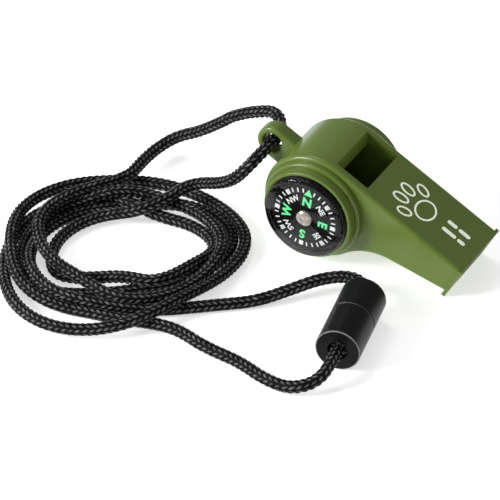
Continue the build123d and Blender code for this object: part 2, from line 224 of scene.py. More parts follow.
def brushed_metal(name, colour, rough):
    """Metal with fine turning marks."""
    n = Nodes(name)
    marks = n.noise(2600.0, 3.0)
    stops = [(0.3, shade(colour, 0.85)), (0.7, colour)]
    n.link(n.ramp(marks, stops), n.shader.inputs["Base Color"])
    n.link(n.span(marks, rough - 0.06, rough + 0.08), n.shader.inputs["Roughness"])
    n.bump(marks, 0.004 * MM)
    n.set(Metallic=1.0)
    return n.material


def clear_cover():
    """Clear acrylic that lets the lamps through, with faint scuffs."""
    n = Nodes("clear_cover")
    n.set(Base_Color=(0.97, 0.985, 0.98, 1), IOR=1.34, Transmission_Weight=1.0)
    scuffs = n.noise(700.0, 4.0)
    n.link(n.span(scuffs, 0.0, 0.035), n.shader.inputs["Roughness"])
    rays = n.add("ShaderNodeLightPath")
    through = rays.outputs["Is Shadow Ray"]
    for bounce in ("Is Diffuse Ray", "Is Glossy Ray"):
        through = n.maths("MAXIMUM", through, rays.outputs[bounce])
    clear = n.add("ShaderNodeBsdfTransparent", Color=(0.96, 0.975, 0.97, 1))
    mix = n.add("ShaderNodeMixShader")
    n.link(through, mix.inputs[0])
    n.link(n.shader.outputs[0], mix.inputs[1])
    n.link(clear.outputs[0], mix.inputs[2])
    n.link(mix.outputs[0], n.output.inputs["Surface"])
    return n.material


def cork():
    """Pressed cork granules."""
    n = Nodes("pea_cork")
    cells = n.add("ShaderNodeTexVoronoi", Scale=900.0)
    n.link(n.place, cells.inputs["Vector"])
    tone = n.ramp(cells.outputs["Distance"], [(0.0, (0.50, 0.30, 0.15)), (0.6, (0.22, 0.11, 0.05))])
    n.link(tone, n.shader.inputs["Base Color"])
    n.bump(cells.outputs["Distance"], -0.12 * MM)
    n.set(Roughness=0.85)
    return n.material


SOCKET_FACE = Vector((18.1, -51.1, 6.0)) * MM
CONNECTOR_AXIS = Vector(JOINTS["breakaway_pull"]["axis"]).normalized()
CONNECTOR_EDGE = 5.55        # mm from the connector's axis to its rounded edges
# Pale bands painted on as the highlights of the connector's rounded end edge and seam.
PAINTED_HIGHLIGHT_BANDS = ((0.16, 0.13), (13.02, 0.12))     # mm along the connector, and half width


def connector_black():
    """Satin black moulding, with pale bands painted along its end and its seam as highlights."""
    n = Nodes("connector_black")
    local = n.vectors("SUBTRACT", n.place, SOCKET_FACE)
    along = n.vectors("DOT_PRODUCT", local, CONNECTOR_AXIS, output="Value")
    out = n.vectors("CROSS_PRODUCT", local, CONNECTOR_AXIS)
    out = n.vectors("LENGTH", out, output="Value")
    # Painted highlight: a band where each rounded edge would catch the light, beyond CONNECTOR_EDGE from
    # the axis, made patchy by noise.
    painted_highlight = 0.0
    for place, half_width in PAINTED_HIGHLIGHT_BANDS:
        band = n.maths("COMPARE", along, place * MM, half_width * MM)
        painted_highlight = n.maths("ADD", band, painted_highlight)
    painted_highlight = n.maths("MULTIPLY", painted_highlight, n.maths("GREATER_THAN", out, CONNECTOR_EDGE * MM))
    patchy = n.span(n.noise(500.0, 2.0), 0.55, 1.0)
    painted_highlight = n.maths("MULTIPLY", painted_highlight, patchy)
    # Black moulding, and pale grey in the painted highlight bands.
    stops = [(0.0, (0.0042, 0.0042, 0.0045)), (1.0, (0.26, 0.26, 0.24))]
    n.link(n.ramp(painted_highlight, stops), n.shader.inputs["Base Color"])
    fine = n.noise(1400.0, 4.0)
    n.link(n.span(fine, 0.26, 0.38), n.shader.inputs["Roughness"])
    n.bump(fine, 0.004 * MM)
    n.set(Specular_IOR_Level=0.15)
    return n.material


def hub_pearl():
    """Pearly moulded hub with swirls of lighter resin."""
    n = Nodes("hub_pearl")
    swirl = n.noise(650.0, 2.5)
    stops = [(0.25, (0.30, 0.25, 0.21)), (0.75, (0.80, 0.75, 0.66))]
    n.link(n.ramp(swirl, stops), n.shader.inputs["Base Color"])
    n.link(n.span(swirl, 0.20, 0.34), n.shader.inputs["Roughness"])
    n.bump(swirl, 0.02 * MM, 0.4)
    n.set(Metallic=0.35, Coat_Weight=0.5, Coat_Roughness=0.12)
    return n.material


MATERIALS = {
    "olive_plastic": olive_plastic(),
    "capsule_black": surface("capsule_black", (0.012, 0.012, 0.013), 0.30),
    "seal_rubber": surface("seal_rubber", (0.020, 0.020, 0.020), 0.62, depth=0.01),
    "clear_cover": clear_cover(),
    "card_black": surface(
        "card_black", (0.0045, 0.0045, 0.005), 0.55, depth=0.001, Specular_IOR_Level=0.05
    ),
    "hub_pearl": hub_pearl(),
    "magnet_steel": brushed_metal("magnet_steel", (0.42, 0.42, 0.44), 0.34),
    "pivot_steel": brushed_metal("pivot_steel", (0.62, 0.62, 0.63), 0.22),
    "dial_white": surface("dial_white", (0.78, 0.79, 0.76), 0.38, vary=0.03, grain=2500.0),
    "bimetal": brushed_metal("bimetal", (0.56, 0.40, 0.22), 0.36),
    "spindle_brass": brushed_metal("spindle_brass", (0.72, 0.53, 0.24), 0.26),
    "pointer_red": surface("pointer_red", (0.56, 0.020, 0.015), 0.34, vary=0.05),
    "pea_cork": cork(),
    "connector_black": connector_black(),
    "lanyard_cord": braided_cord(),
}
# The cream ink also glows faintly: painted light that keeps the print bright.
CREAM_INK = surface(
    "cream_ink",
    (0.90, 0.93, 0.82),
    0.45,
    vary=0.03,
    Emission_Color=(0.90, 1.0, 0.80, 1),
    Emission_Strength=0.22,
)
MINT_INK = surface("mint_ink", (0.16, 0.86, 0.34), 0.50, vary=0.04, Specular_IOR_Level=0.1)
WHITE_INK = surface("white_ink", (0.88, 0.89, 0.88), 0.50, vary=0.03, Specular_IOR_Level=0.1)
DARK_INK = surface("dark_ink", (0.012, 0.012, 0.014), 0.50, vary=0.10)
RED_INK = surface("red_ink", (0.52, 0.02, 0.015), 0.50, vary=0.05)
BLUE_INK = surface("blue_ink", (0.02, 0.07, 0.42), 0.50, vary=0.05)

for subpart in frame["record"]["subparts"]:
    mesh = frame["nodes"][subpart["node"]].data
    mesh.materials.clear()
    mesh.materials.append(MATERIALS[subpart["material_slot"]])


# ---- mesh helpers ------------------------------------------------------------
def add_piece(name, vertices, faces, material, body=None, smooth=False):
    """A mesh object of these vertices and faces, riding on a body if one is named."""
    mesh = bpy.data.meshes.new(name)
    mesh.from_pydata([tuple(v) for v in vertices], [], faces)
    mesh.materials.append(material)
    mesh.update()
    if smooth:
        mesh.shade_smooth()
    piece = bpy.data.objects.new(name, mesh)
    bpy.context.scene.collection.objects.link(piece)
    if body:
        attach(piece, body)
    return piece


def join(name, pieces, body):
    """One piece of several meshes, each keeping its own material."""
    bpy.ops.object.select_all(action="DESELECT")
    for piece in pieces:
        piece.select_set(True)
    bpy.context.view_layer.objects.active = pieces[0]
    bpy.ops.object.join()
    pieces[0].name = name
    pieces[0].data.name = name
    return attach(pieces[0], body)


def slab(outline, hole, place, depth, material):
    """A thin raised shape: a closed outline of (x, y) in mm, with a hole or without one.

    place turns a flat point (x, y, height), in mm, into a point of the frame.
    """
    rings = [outline] if hole is None else [outline, hole]
    count = len(outline)
    vertices = []
    for ring in rings:
        vertices += [place(x, y, 0.0) for x, y in ring] + [place(x, y, depth) for x, y in ring]
    faces = []
    for index in range(count):
        after = (index + 1) % count
        faces.append((index, after, count + after, count + index))
        if hole is not None:
            inner = 2 * count
            faces.append((inner + after, inner + index, inner + count + index, inner + count + after))
            faces.append((count + index, count + after, inner + count + after, inner + count + index))
            faces.append((after, index, inner + index, inner + after))
    if hole is None:
        faces.append(tuple(range(count, 2 * count)))
        faces.append(tuple(reversed(range(count))))
    return add_piece("slab", vertices, faces, material)


def placed_by(matrix):
    """A place function for slab: a flat point in mm, put where the matrix says."""
    return lambda x, y, height: matrix @ Vector((x * MM, y * MM, height * MM))


def ellipse(centre, radii, turn=0.0, count=40):
    """Points round an ellipse, turned by an angle in degrees."""
    t = math.radians(turn)
    points = []
    for index in range(count):
        a = 2 * math.pi * index / count
        x, y = radii[0] * math.cos(a), radii[1] * math.sin(a)
        rotated = (x * math.cos(t) - y * math.sin(t), x * math.sin(t) + y * math.cos(t))
        points.append((centre[0] + rotated[0], centre[1] + rotated[1]))
    return points


def rounded_bar(centre, half_length, half_width, count=8):
    """Points round a bar with round ends, lying along x."""
    points = []
    for side, start in ((1, -90), (-1, 90)):
        for index in range(count + 1):
            a = math.radians(start + 180 * index / count)
            x = centre[0] + side * (half_length - half_width) + half_width * math.cos(a)
            points.append((x, centre[1] + half_width * math.sin(a)))
    return points


def lettering(text, size, matrix, depth, weight, material):
    """Generic dial lettering as a mesh, centred on matrix. Sizes in mm."""
    curve = bpy.data.curves.new("letters", "FONT")
    curve.body = text
    curve.size = size * MM
    curve.extrude = depth * MM / 2
    curve.offset = weight * MM
    curve.resolution_u = 3
    curve.align_x = "CENTER"
    curve.align_y = "CENTER"
    written = bpy.data.objects.new("letters", curve)
    mesh = bpy.data.meshes.new_from_object(written)
    mesh.transform(matrix)
    mesh.materials.clear()
    mesh.materials.append(material)
    bpy.data.objects.remove(written)
    piece = bpy.data.objects.new("letters", mesh)
    bpy.context.scene.collection.objects.link(piece)
    return piece


def lathe(name, profile, outward, material, body, steps=96):
    """Turn a (radius, outward) profile, in mm, round the barrel's axis."""
    vertices = []
    for radius, out in profile:
        for index in range(steps):
            a = 2 * math.pi * index / steps
            across = Vector((math.cos(a), 0, math.sin(a))) * radius
            vertices.append(AXIS + (across + outward * out) * MM)
    faces = []
    for row in range(len(profile) - 1):
        for index in range(steps):
            after = (index + 1) % steps
            quad = (row * steps + index, row * steps + after)
            faces.append(quad + ((row + 1) * steps + after, (row + 1) * steps + index))
    faces.append(tuple(reversed(range(steps))))
    faces.append(tuple(range((len(profile) - 1) * steps, len(profile) * steps)))
    piece = add_piece(name, vertices, faces, material, body)
    piece.data.shade_smooth()
    shell = bmesh.new()
    shell.from_mesh(piece.data)
    bmesh.ops.recalc_face_normals(shell, faces=shell.faces)
    shell.to_mesh(piece.data)
    shell.free()
    return piece


# ---- print on the mouthpiece -------------------------------------------------
PRINT_TOP = 15.2
INK = 0.06


def on_top(x, y, height):
    """The printed face: x down the whistle, y across it towards the thermometer."""
    return whistle_point(x, y, PRINT_TOP + height)


def paw_print():
    """An outlined paw and four plain bars, where the mouthpiece carries its print."""
    line = 0.55
    bar_half_width = 0.62
    marks = []
    # Each pad's centre, its two radii and its turn in degrees: the palm first, then four toes.
    pads = [
        ((23.2, -1.0), (3.1, 3.9), 0.0),
        ((19.2, -6.3), (2.3, 1.5), 20.0),
        ((16.1, -3.0), (2.5, 1.55), 8.0),
        ((16.1, 1.0), (2.5, 1.55), -8.0),
        ((19.2, 4.3), (2.3, 1.5), -20.0),
    ]
    for centre, radii, turn in pads:
        inner = (radii[0] - line, radii[1] - line)
        marks.append(
            slab(ellipse(centre, radii, turn), ellipse(centre, inner, turn), on_top, INK, CREAM_INK)
        )
    # Two rows of two bars down the mouthpiece.
    for centre, half_length in (
        ((30.9, 1.4), 1.6),
        ((34.9, 1.4), 1.9),
        ((31.6, -1.9), 2.3),
        ((35.6, -1.9), 1.2),
    ):
        marks.append(slab(rounded_bar(centre, half_length, bar_half_width), None, on_top, INK, CREAM_INK))
    return join("mouthpiece_print", marks, "whistle")


# ---- compass -----------------------------------------------------------------
CARD_FACE = 15.1             # mm from the middle plane to the card
NORTH = 83.0                 # degrees from level, seen from the compass side
CARD_INK = 0.08
LETTER_SIZE, LETTER_WEIGHT = 3.5, 0.12
PAIR_SIZE, PAIR_WEIGHT = 2.2, 0.04
LETTER_INK = 0.10
LETTER_LIFT = 0.05
LETTER_RADIUS = 5.0
NORTH_RADIUS = 4.7           # the N stands a little further in, below the arrow
PAIR_RADIUS = 5.6
TICKS = 32
TICK_RADIUS = 8.1
LONG_TICK_RADIUS = 8.0
LONG_TICK = 1.4
ARROW_RADIUS = 7.7


def compass_matrix(bearing, radius, lift=0.0):
    """Frame of a mark on the card, its top pointing outwards. bearing runs clockwise."""
    a = math.radians(NORTH - bearing)
    out = Vector((math.cos(a), 0, math.sin(a)))
    right = Vector((math.sin(a), 0, -math.cos(a)))
    centre = AXIS + (out * radius - Y * (CARD_FACE + lift)) * MM
    return Matrix.Translation(centre) @ Matrix((right, out, -Y)).transposed().to_4x4()


def card_mark(outline, bearing, radius, material):
    """A printed shape on the card, its outline in mm about its own middle."""
    matrix = compass_matrix(bearing, radius)
    return slab(outline, None, placed_by(matrix), CARD_INK, material)


def box_outline(width, height):
    x, y = width / 2, height / 2
    return [(-x, -y), (x, -y), (x, y), (-x, y)]


def compass_print():
    """Letters, ticks and the north arrow, printed on the card."""
    marks = []
    for bearing, letter in ((0, "N"), (90, "E"), (180, "S"), (270, "W")):
        radius = NORTH_RADIUS if letter == "N" else LETTER_RADIUS
        matrix = compass_matrix(bearing, radius, LETTER_LIFT)
        marks.append(lettering(letter, LETTER_SIZE, matrix, LETTER_INK, LETTER_WEIGHT, MINT_INK))
    for bearing, letters in ((45, "NE"), (135, "SE"), (225, "SW"), (315, "NW")):
        matrix = compass_matrix(bearing, PAIR_RADIUS, LETTER_LIFT)
        marks.append(lettering(letters, PAIR_SIZE, matrix, LETTER_INK, PAIR_WEIGHT, WHITE_INK))
    # The arrow takes the place of the first tick. A quarter has one broad tick, and an
    # eighth has three close ones.
    broad = box_outline(1.15, LONG_TICK)
    close = box_outline(0.30, LONG_TICK)
    plain = box_outline(0.34, 1.2)
    for index in range(1, TICKS):
        bearing = index * 360 / TICKS
        if index % 8 == 0:
            marks.append(card_mark(broad, bearing, LONG_TICK_RADIUS, WHITE_INK))
        elif index % 4 == 0:
            for offset in (-2.9, 0, 2.9):
                marks.append(card_mark(close, bearing + offset, LONG_TICK_RADIUS, WHITE_INK))
        else:
            marks.append(card_mark(plain, bearing, TICK_RADIUS, WHITE_INK))
    arrow = [(-1.2, -0.9), (1.2, -0.9), (0, 1.2)]
    marks.append(card_mark(arrow, 0, ARROW_RADIUS, MINT_INK))
    return join("compass_print", marks, "compass_rose")


def compass_lens():
    """The clear dome and the clear liquid under it, as one block."""
    rim, crown, shoulder = 11.7, 18.4, 16.5
    floor, seat = 12.6, 13.4
    inner = 10.75
    rise = crown - shoulder
    sphere = (rim**2 + rise**2) / (2 * rise)
    pole = 0.02
    dome = []
    steps = 28
    for index in range(steps + 1):
        radius = rim * (1 - index / steps)
        out = crown - sphere + math.sqrt(sphere**2 - radius**2)
        dome.append((max(radius, pole), out))
    # The dome's edge is rounded over into its side.
    edge_width, edge_drop = 0.42, 0.35
    round_width, round_drop = 0.12, 0.08
    dome[0] = (rim, shoulder - edge_drop)
    dome[1] = (rim - edge_width, dome[1][1])
    dome.insert(1, (rim - round_width, shoulder - round_drop))
    block = [(pole, floor), (inner, floor), (inner, seat), (rim, seat), *dome]
    piece = lathe("compass_cover", block, -Y, MATERIALS["clear_cover"], "whistle")
    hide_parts("compass_lens")
    return piece


# ---- thermometer -------------------------------------------------------------
DIAL_FACE = 12.9
COLDEST, HOTTEST, MIDDLE = -30, 50, 10
SWEEP = 270.0
FREEZING, HOT = 0, 30        # degrees Celsius where the scale's colour changes
SCALE_RADIUS = 9.9
NUMBER_RADIUS, NUMBER_SIZE = 6.9, 1.75
UNIT_DROP, UNIT_SIZE = 4.6, 2.2
DIAL_INK, DIAL_WEIGHT = 0.05, 0.03


def dial_matrix(degrees_c, radius):
    """Frame of a mark on the thermometer's dial, its top pointing outwards."""
    a = math.radians(90 - (degrees_c - MIDDLE) * SWEEP / (HOTTEST - COLDEST))
    out = -ALONG * math.cos(a) + UP * math.sin(a)
    right = -ALONG * math.sin(a) - UP * math.cos(a)
    centre = AXIS + (out * radius + Y * DIAL_FACE) * MM
    return Matrix.Translation(centre) @ Matrix((right, out, Y)).transposed().to_4x4()


def dial_mark(width, height, degrees_c, radius, material):
    matrix = dial_matrix(degrees_c, radius)
    flat = box_outline(width, height)
    return slab(flat, None, placed_by(matrix), DIAL_INK, material)


def thermometer_print():
    """Scale from -30 to +50, in blue below zero and red above thirty."""
    marks = []
    for degrees_c in range(COLDEST, HOTTEST + 1, 2):
        long_one = degrees_c % 10 == 0
        ink = DARK_INK
        if degrees_c < FREEZING:
            ink = BLUE_INK
        if degrees_c > HOT:
            ink = RED_INK
        width, height = (0.28, 1.5) if long_one else (0.18, 0.8)
        marks.append(dial_mark(width, height, degrees_c, SCALE_RADIUS - height / 2, ink))
        if long_one:
            at = dial_matrix(degrees_c, NUMBER_RADIUS)
            number = str(abs(degrees_c))
            marks.append(lettering(number, NUMBER_SIZE, at, DIAL_INK, DIAL_WEIGHT, ink))
    unit = Matrix.Translation(AXIS + (Y * DIAL_FACE - UP * UNIT_DROP) * MM)
    unit = unit @ Matrix((-ALONG, UP, Y)).transposed().to_4x4()
    marks.append(lettering("°C", UNIT_SIZE, unit, DIAL_INK, DIAL_WEIGHT, DARK_INK))
    return join("thermometer_print", marks, "whistle")


# ---- lanyard -----------------------------------------------------------------
CORD = 3.2
FLOOR_RUN = CORD / 2 + 0.1
COIL_CENTRE = (-52.1, -33.4)
COIL_TURN = 28.7             # where the stations' angles start from
POINTS_A_TURN = 24

# The strands' and tails' points repeat the CAD route's, with some moved or added.
SOCKET_EXIT = Vector((17.9941, -50.5732, 6.0))
PLUG_EXIT = Vector((13.3873, -27.6563, 6.0))
END_STRAIGHT = 4.4
LUG_MIDDLE = Vector((-28.45, 1.1, 24.5))     # 0.7 mm lower in the lug's hole than the CAD route
LUG_STRAIGHT = 4.1
FAR_STRAND = [
    LUG_MIDDLE,
    LUG_MIDDLE + Y * LUG_STRAIGHT,
    (-33.1, 11.8, 25.6),
    (-41.3, 12.6, 22.4),
    (-48.3, 13.0, 18.2),
    (-50.5, 13.5, 15.9),
    (-58.5, 14.2, 9.4),
    (-65.7, 14.8, 5.2),
    (-68.4, 9.8, 4.0),
    (-68.9, 3.6, 4.2),
    (-68.4, -4.4, 5.4),
]
NEAR_STRAND = [
    LUG_MIDDLE,
    LUG_MIDDLE - Y * LUG_STRAIGHT,
    (-30.5, -9.4, 21.6),
    (-34.7, -9.4, 16.0),
    (-40.7, -7.4, 11.4),
    (-47.1, -5.8, 8.6),
    (-52.1, -8.4, 7.2),
]
SOCKET_TAIL = [
    (-34.4, -58.2, 1.7),
    (-24.9, -57.6, 1.7),
    (-15.1, -61.0, 1.7),
    (-4.1, -62.2, 1.7),
    (4.9, -65.6, 1.7),
    (12.9, -66.4, 2.0),
    (18.7, -62.2, 3.8),
    SOCKET_EXIT - CONNECTOR_AXIS * END_STRAIGHT,
    SOCKET_EXIT,
]
PLUG_TAIL = [
    (-27.1, -48.2, 1.7),
    (-20.1, -42.8, 1.7),
    (-12.9, -37.4, 1.8),
    (-7.3, -30.0, 2.6),
    (-1.3, -23.2, 4.2),
    (5.9, -20.2, 5.6),
    PLUG_EXIT + CONNECTOR_AXIS * END_STRAIGHT,
    PLUG_EXIT,
]
# Stations of the loose turns: angle in degrees, distance from the coil's middle, height.
# The angles and distances were read off the photograph with a separate script and adjusted.
NEAR_TURNS = [
    (60, 20.5, 8.2), (81, 13.9, 7.0), (99, 15.8, 4.0), (120, 18.4, 2.4), (145, 20.0, 1.7),
    (170, 21.4, 1.7), (195, 22.8, 1.7), (211, 24.6, 1.7), (224, 19.0, 1.7), (238, 14.8, 1.7),
    (253, 13.3, 2.0), (269, 15.6, 4.0), (281, 20.0, 6.0), (301, 19.4, 4.6), (324, 19.0, 2.6),
    (344, 21.4, 1.7), (364, 23.6, 1.7), (386, 21.4, 1.7), (410, 18.6, 2.4), (430, 15.6, 4.4),
    (446, 18.6, 5.6), (464, 23.2, 5.6), (483, 27.0, 5.2), (500, 31.8, 4.0), (516, 33.2, 2.6),
    (540, 34.0, 1.7), (562, 37.0, 1.7), (582, 40.6, 1.7), (602, 41.6, 1.8), (622, 38.6, 3.0),
    (642, 32.4, 4.6), (662, 27.2, 5.4), (684, 26.4, 4.4), (707, 28.4, 2.6), (729, 32.0, 1.7),
    (751, 31.8, 1.7), (774, 31.6, 1.7), (795, 33.0, 1.7), (820, 34.0, 1.7), (840, 36.6, 1.7),
    (862, 36.6, 1.7), (880, 34.4, 3.0), (900, 32.6, 5.0), (918, 33.0, 4.6), (936, 34.2, 2.4),
    (954, 31.2, 1.7), (973, 27.6, 1.7), (986, 30.8, 1.7),
]
FAR_TURNS = [
    (89, 31.0, 6.4), (101, 26.6, 7.4), (117, 24.4, 7.4), (135, 26.4, 7.4), (153, 29.2, 7.4),
    (171, 26.4, 7.0), (190, 24.0, 6.0), (208, 22.4, 5.0), (226, 20.4, 5.0), (243, 22.0, 5.6),
    (262, 26.6, 6.0), (286, 24.6, 7.2), (308, 23.8, 6.4), (331, 23.8, 5.2), (355, 24.8, 5.0),
    (378, 23.4, 4.6), (402, 23.6, 3.6), (424, 22.8, 3.6), (440, 21.8, 4.4), (460, 22.6, 6.0),
    (480, 25.6, 5.6), (498, 28.8, 4.0), (520, 28.6, 3.2), (541, 30.2, 3.0), (560, 32.2, 3.0),
    (580, 30.6, 3.0), (596, 23.8, 2.4), (612, 20.2, 1.7), (630, 17.2, 1.7), (652, 17.0, 1.7),
    (672, 18.6, 1.7), (692, 20.2, 1.7), (711, 25.0, 1.7), (733, 29.0, 1.7), (753, 28.2, 1.7),
    (777, 26.4, 1.7), (796, 22.8, 1.7), (815, 20.8, 1.7), (839, 23.2, 1.7), (861, 25.0, 1.7),
    (882, 26.8, 1.7), (903, 28.4, 1.7), (924, 30.1, 2.2), (946, 31.4, 4.0), (966, 30.0, 4.6),
    (986, 26.6, 3.6), (1008, 27.4, 2.0),
]


def eased(stations, angle, column):
    """A station column's value at an angle, on a smooth curve through the stations."""
    angles = [s[0] for s in stations]
    k = min(max(int(np.searchsorted(angles, angle, side="right")) - 1, 0), len(angles) - 2)
    before, after = max(k - 1, 0), min(k + 2, len(angles) - 1)
    width = angles[k + 1] - angles[k]
    t = (angle - angles[k]) / width
    v = [s[column] for s in stations]
    slope_in = (v[k + 1] - v[before]) / (angles[k + 1] - angles[before]) * width
    slope_out = (v[after] - v[k]) / (angles[after] - angles[k]) * width
    rise = 3 * t**2 - 2 * t**3
    bend_in = t**3 - 2 * t**2 + t
    bend_out = t**3 - t**2
    return v[k] * (1 - rise) + v[k + 1] * rise + bend_in * slope_in + bend_out * slope_out


def loose_turns(stations):
    """The control points of a cord's loose turns, evenly spread in angle."""
    first, last = stations[0][0], stations[-1][0]
    count = round((last - first) / 360 * POINTS_A_TURN)
    points = []
    for index in range(count + 1):
        angle = first + (last - first) * index / count
        radius = eased(stations, angle, 1)
        height = max(FLOOR_RUN, eased(stations, angle, 2))
        turn = math.radians(angle + COIL_TURN)
        x = COIL_CENTRE[0] + radius * math.cos(turn)
        y = COIL_CENTRE[1] + radius * math.sin(turn)
        points.append((x, y, height))
    return points


SAMPLES_A_POINT = 3
NEAR_ALONG = 7.0             # mm of cord that don't push each other


def spline_weights(count):
    """How much each control point counts in samples along an open quadratic B-spline."""
    knots = [0, 0, 0, *range(1, count - 2), count - 2, count - 2, count - 2]
    rows = []
    for sample in np.linspace(0, count - 2, SAMPLES_A_POINT * (count - 2) + 1):
        span = min(int(sample), count - 3) + 2
        row = np.zeros(count)
        left = (sample - knots[span]) / (knots[span + 1] - knots[span])
        low = (sample - knots[span - 1]) / (knots[span + 1] - knots[span - 1])
        high = (sample - knots[span]) / (knots[span + 2] - knots[span])
        row[span - 2] = (1 - low) * (1 - left)
        row[span - 1] = low * (1 - left) + (1 - high) * left
        row[span] = high * left
        rows.append(row)
    return np.array(rows)


PUSH, PUSH_UP = 0.35, 1.5    # share of an overlap undone in a round, and more of it upwards
LONGEST_PUSH = 0.8
SMOOTHING = np.array([0.05, 0.05, 0.15])
HOME_PULL = 0.05             # share of a sideways shift taken back in a round
SINK = 0.05
SINKING_ROUNDS = 0.85        # the last rounds only push apart
TOUCHING = 0.05
FAR_APART = 1e9


def settle(cords, free, rounds=120):
    """Lay the loose turns down: they push each other apart and sink to what they lie on."""
    cords = [c.copy() for c in cords]
    home = [c.copy() for c in cords]
    weights = [spline_weights(len(c)) for c in cords]
    owner = np.concatenate([np.full(len(w), i) for i, w in enumerate(weights)])
    for step in range(rounds):
        lines = [w @ c for w, c in zip(weights, cords)]
        run = [np.r_[0, np.cumsum(np.linalg.norm(np.diff(l, axis=0), axis=1))] for l in lines]
        points, run = np.concatenate(lines), np.concatenate(run)
        apart = points[:, None] - points[None]
        distance = np.linalg.norm(apart, axis=2)
        same = (owner[:, None] == owner[None]) & (abs(run[:, None] - run[None]) < NEAR_ALONG)
        distance[same] = FAR_APART
        overlap = np.where(distance < CORD, (CORD - distance) / np.maximum(distance, TOUCHING), 0)
        push = overlap[..., None] * apart
        push[..., 2] *= PUSH_UP
        move = PUSH * push.sum(1)
        length = np.linalg.norm(move, axis=1, keepdims=True)
        move *= np.minimum(1, LONGEST_PUSH / np.maximum(length, 1e-9))
        offset = 0
        for cord, rest, weight, loose in zip(cords, home, weights, free):
            part = move[offset : offset + len(weight)]
            offset += len(weight)
            moved = cord + (weight.T @ part) / np.maximum(weight.sum(0), 1e-9)[:, None]
            stiff = np.zeros_like(moved)
            stiff[1:-1] = (moved[:-2] + moved[2:]) / 2 - moved[1:-1]
            moved += stiff * SMOOTHING
            moved[:, :2] += (rest[:, :2] - moved[:, :2]) * HOME_PULL
            if step < SINKING_ROUNDS * rounds:
                moved[:, 2] -= SINK
            moved[:, 2] = np.maximum(moved[:, 2], FLOOR_RUN)
            cord[loose] = moved[loose]
    return cords


def control_points():
    """Both cords' control points in mm: strand, loose turns, tail."""
    cords, free = [], []
    for strand, turns, tail in (
        (FAR_STRAND, FAR_TURNS, PLUG_TAIL),
        (NEAR_STRAND, NEAR_TURNS, SOCKET_TAIL),
    ):
        middle = loose_turns(turns)
        points = np.array([tuple(p) for p in [*strand, *middle, *tail]], float)
        loose = np.zeros(len(points), bool)
        loose[len(strand) - 1 : len(strand) + len(middle) + 1] = True
        cords.append(points)
        free.append(loose)
    return settle(cords, free)


def nurbs_line(points):
    """Points along the NURBS spline of these control points, in metres."""
    curve = bpy.data.curves.new("route", "CURVE")
    curve.dimensions = "3D"
    curve.resolution_u = 12
    spline = curve.splines.new("NURBS")
    spline.points.add(len(points) - 1)
    for target, point in zip(spline.points, points):
        target.co = (*[c * MM for c in point], 1)
    spline.order_u = 3
    spline.use_endpoint_u = True
    route = bpy.data.objects.new("route", curve)
    mesh = bpy.data.meshes.new_from_object(route)
    line = np.array([v.co for v in mesh.vertices], float)
    bpy.data.objects.remove(route)
    bpy.data.meshes.remove(mesh)
    return line


def evenly(line, step):
    """The same line with points a step apart, in metres."""
    run = np.r_[0, np.cumsum(np.linalg.norm(np.diff(line, axis=0), axis=1))]
    count = max(2, round(run[-1] / step)) + 1
    at = np.linspace(0, run[-1], count)
    return np.stack([np.interp(at, run, line[:, axis]) for axis in range(3)], 1), run[-1]


def frames_along(line, closed=False):
    """Two directions square to the line at each point, without needless twist."""
    tangents = np.gradient(line, axis=0)
    if closed:
        tangents[0] = tangents[-1] = line[1] - line[-2]
    tangents /= np.linalg.norm(tangents, axis=1, keepdims=True)
    first = np.cross(tangents[0], (0.1, 0.2, 1.0))
    normal = first / np.linalg.norm(first)
    normals = []
    for tangent in tangents:
        normal = normal - tangent * (normal @ tangent)
        normal /= np.linalg.norm(normal)
        normals.append(normal)
    normals = np.array(normals)
    return normals, np.cross(tangents, normals)


COLUMNS = 8                  # half columns of stitches round the braid
AROUND = 48
RING_STEP = 0.30
STITCH = 1.75                # mm of cord to one stitch
STITCH_DEPTH = 0.56
SLANT = 0.8                  # part of a stitch that a yarn climbs across its column
GROOVE = 0.35                # relief left between two columns, as a share of the stitch's
MEAN_RELIEF = 0.72           # relief that lies at the braid's own radius
COLUMN_SEED = 7.3            # keeps the fibres of neighbouring columns apart


